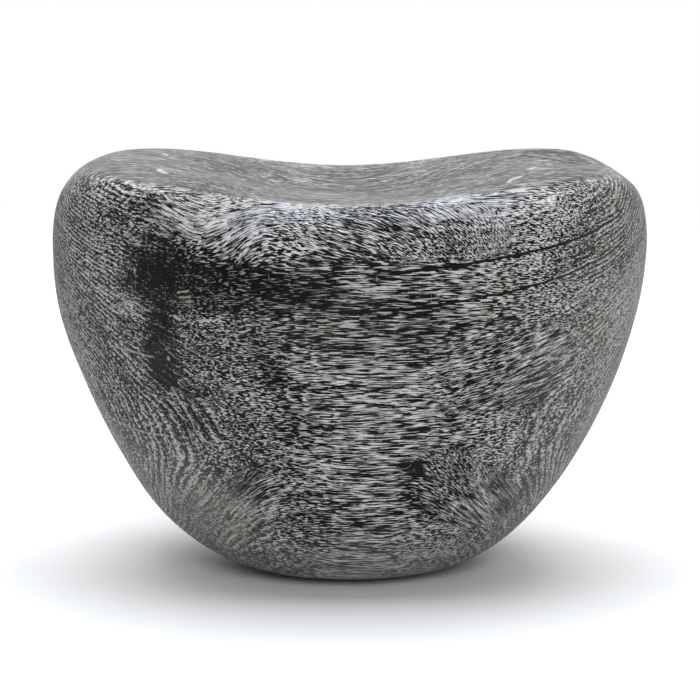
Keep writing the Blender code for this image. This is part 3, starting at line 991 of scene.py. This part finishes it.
def makeFelt(material):
    # One felt ring at the front left place, with soft edges
    low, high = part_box("glide_felt_front_left")
    middle = (low + high) / 2
    outer = (high.x - low.x) / 2
    hole = ringHole("glide_felt_front_left", middle)
    deselectAll()
    bpy.ops.mesh.primitive_cylinder_add(vertices=96, radius=outer, depth=high.z - low.z, location=middle)
    made = bpy.context.active_object
    made.name = "felt_ring_front_left"
    editing(made, "FACE")
    pick(made, "FACE", lambda f: abs(f.normal.z) > 0.9)
    bpy.ops.mesh.inset(thickness=outer - hole)
    bpy.ops.mesh.bridge_edge_loops()
    bpy.ops.mesh.select_mode(type="EDGE")
    pick(made, "EDGE", lambda e: e.calc_face_angle(0) > math.radians(60))
    bpy.ops.mesh.bevel(offset=felt["edge"], segments=4, affect="EDGES")
    bpy.ops.mesh.select_all(action="SELECT")
    bpy.ops.mesh.normals_make_consistent(inside=False)
    settle(made)
    bpy.ops.object.shade_smooth_by_angle(angle=math.radians(50))
    dress(made, material)
    return made


def ringHole(node, middle):
    # The radius of the hole through a CAD ring
    mesh = cadNodes[node].data
    return min(math.hypot(v.co.x - middle.x, v.co.y - middle.y) for v in mesh.vertices)


def copyFelt(first, place, shift):
    # The same ring at another place, with its own mesh
    made = first.copy()
    made.data = first.data.copy()
    made.name = f"felt_ring_{place}"
    bpy.context.scene.collection.objects.link(made)
    made.location = shift
    settle(made)
    return made


feltMaterial = makeFeltMaterial()
nylonMaterial = makeNylonMaterial()
steelMaterial = makeSteelMaterial()
firstFelt = makeFelt(feltMaterial)
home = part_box("glide_felt_front_left")[0]
rings = {"front_left": firstFelt}
for place in places[1:]:
    rings[place] = copyFelt(firstFelt, place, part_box(f"glide_felt_{place}")[0] - home)
for place, ring in rings.items():
    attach(ring, "root")
    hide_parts(f"glide_felt_{place}")
    cadNodes[f"glide_cup_{place}"].material_slots[0].material = nylonMaterial
    cadNodes[f"glide_screw_{place}"].material_slots[0].material = steelMaterial
print("the glides are in place")


# Floor, light and camera

studio = {
    "floorSize": 8.0,
    "floorMiddle": (0, -0.6, 0),
    "backdropHeight": 5.0,
    "backdropBend": 1.2,  # radius of the bend between the floor and the backdrop
    "floorColor": (0.86, 0.86, 0.86, 1),
    "worldColor": (0.95, 0.97, 1.0, 1),
    "worldStrength": 0.22,
    "skyStrength": 1.06,  # how bright the empty background looks to the camera
    "fade": (1.0, 2.4),  # how far out the floor turns plain white to the camera, so that no horizon shows
}

# Soft lights: name, power, size, place, what it faces, color
lights = [
    ("overheadSoftbox", 75.0, (2.4, 1.6), (0, 0.1, 2.3), (0, 0, 0.3), (0.93, 0.96, 1.0)),
    ("frontFill", 34.0, (2.0, 1.4), (0.5, -2.6, 1.6), (0, 0, 0.25), (1, 1, 1)),
    ("backdropWash", 90.0, (5.0, 0.6), (0, 1.4, 2.6), (0, 3.4, 1.1), (1, 1, 1)),
]

# The photograph's view
view = {
    "elevation": 12,  # degrees above the horizon
    "distance": 3.0,
    "aim": (0.0006, 0, 0.2267),
    "lens": 148.9,
    "sensor": 36,
}


def makeFloor():
    # A pale floor that bends up into a backdrop behind the stool, with its faces towards the stool
    deselectAll()
    bpy.ops.mesh.primitive_plane_add(size=studio["floorSize"], location=studio["floorMiddle"])
    made = bpy.context.active_object
    made.name = "studio_floor"
    backEdge = studio["floorSize"] / 2 - 0.1
    editing(made, "EDGE")
    pick(made, "EDGE", lambda e: all(v.co.y > backEdge for v in e.verts))
    bpy.ops.mesh.extrude_region_move(TRANSFORM_OT_translate={"value": (0, 0, studio["backdropHeight"])})
    pick(made, "EDGE", lambda e: all(v.co.y > backEdge and v.co.z < 0.1 for v in e.verts))
    bpy.ops.mesh.bevel(offset=studio["backdropBend"], segments=24, affect="EDGES")
    bpy.ops.mesh.select_all(action="SELECT")
    bpy.ops.mesh.normals_make_consistent(inside=True)
    settle(made)
    bpy.ops.object.shade_smooth()
    material, tree, shader, place = newMaterial("paleFloor")
    shade = noise(tree, place, 1.5, 2.0)
    near = tuple(0.985 * part for part in studio["floorColor"][:3]) + (1,)
    feed(tree, shader.inputs["Base Color"], blendColors(tree, shade, near, studio["floorColor"]))
    shader.inputs["Roughness"].default_value = 0.9
    seen = tree.nodes.new("ShaderNodeLightPath").outputs["Is Camera Ray"]
    far = calc(tree, "MULTIPLY", remap(tree, vectorCalc(tree, "LENGTH", place), *studio["fade"]), seen)
    inside = blendShaders(tree, far, shader.outputs[0], tree.nodes.new("ShaderNodeEmission").outputs[0])
    outside = tree.nodes.new("ShaderNodeBsdfTransparent").outputs[0]  # a camera behind it looks through
    behind = tree.nodes.new("ShaderNodeNewGeometry").outputs["Backfacing"]
    both = blendShaders(tree, behind, inside, outside)
    feed(tree, tree.nodes["Material Output"].inputs["Surface"], both)
    dress(made, material)


def makeLight(name, power, size, place, aim, color):
    data = bpy.data.lights.new(name, "AREA")
    data.shape = "RECTANGLE"
    data.size, data.size_y = size
    data.energy = power
    data.color = color
    made = bpy.data.objects.new(name, data)
    made.location = place
    made.rotation_euler = (Vector(aim) - Vector(place)).to_track_quat("-Z", "Y").to_euler()
    bpy.context.scene.collection.objects.link(made)


def makeCamera():
    elevation = math.radians(view["elevation"])
    data = bpy.data.cameras.new("photoView")
    data.sensor_width = view["sensor"]
    data.lens = view["lens"]
    made = bpy.data.objects.new("photoView", data)
    back = Vector((0, -math.cos(elevation), math.sin(elevation)))
    made.location = Vector(view["aim"]) + view["distance"] * back
    made.rotation_euler = (math.pi / 2 - elevation, 0, 0)
    bpy.context.scene.collection.objects.link(made)
    bpy.context.scene.camera = made


def makeWorld():
    # A dim room for the light, and a pale one for what the camera sees past the floor
    world = bpy.data.worlds.new("softRoom")
    world.use_nodes = True
    tree = world.node_tree
    room = tree.nodes["Background"]
    room.inputs["Color"].default_value = studio["worldColor"]
    room.inputs["Strength"].default_value = studio["worldStrength"]
    sky = tree.nodes.new("ShaderNodeBackground")
    sky.inputs["Color"].default_value = studio["worldColor"]
    sky.inputs["Strength"].default_value = studio["skyStrength"]
    seen = tree.nodes.new("ShaderNodeLightPath").outputs["Is Camera Ray"]
    both = blendShaders(tree, seen, room.outputs[0], sky.outputs[0])
    feed(tree, tree.nodes["World Output"].inputs["Surface"], both)
    bpy.context.scene.world = world


makeFloor()
for light in lights:
    makeLight(*light)
makeWorld()
bpy.context.scene.view_settings.view_transform = "Standard"
makeCamera()
print("floor, light and camera are set")
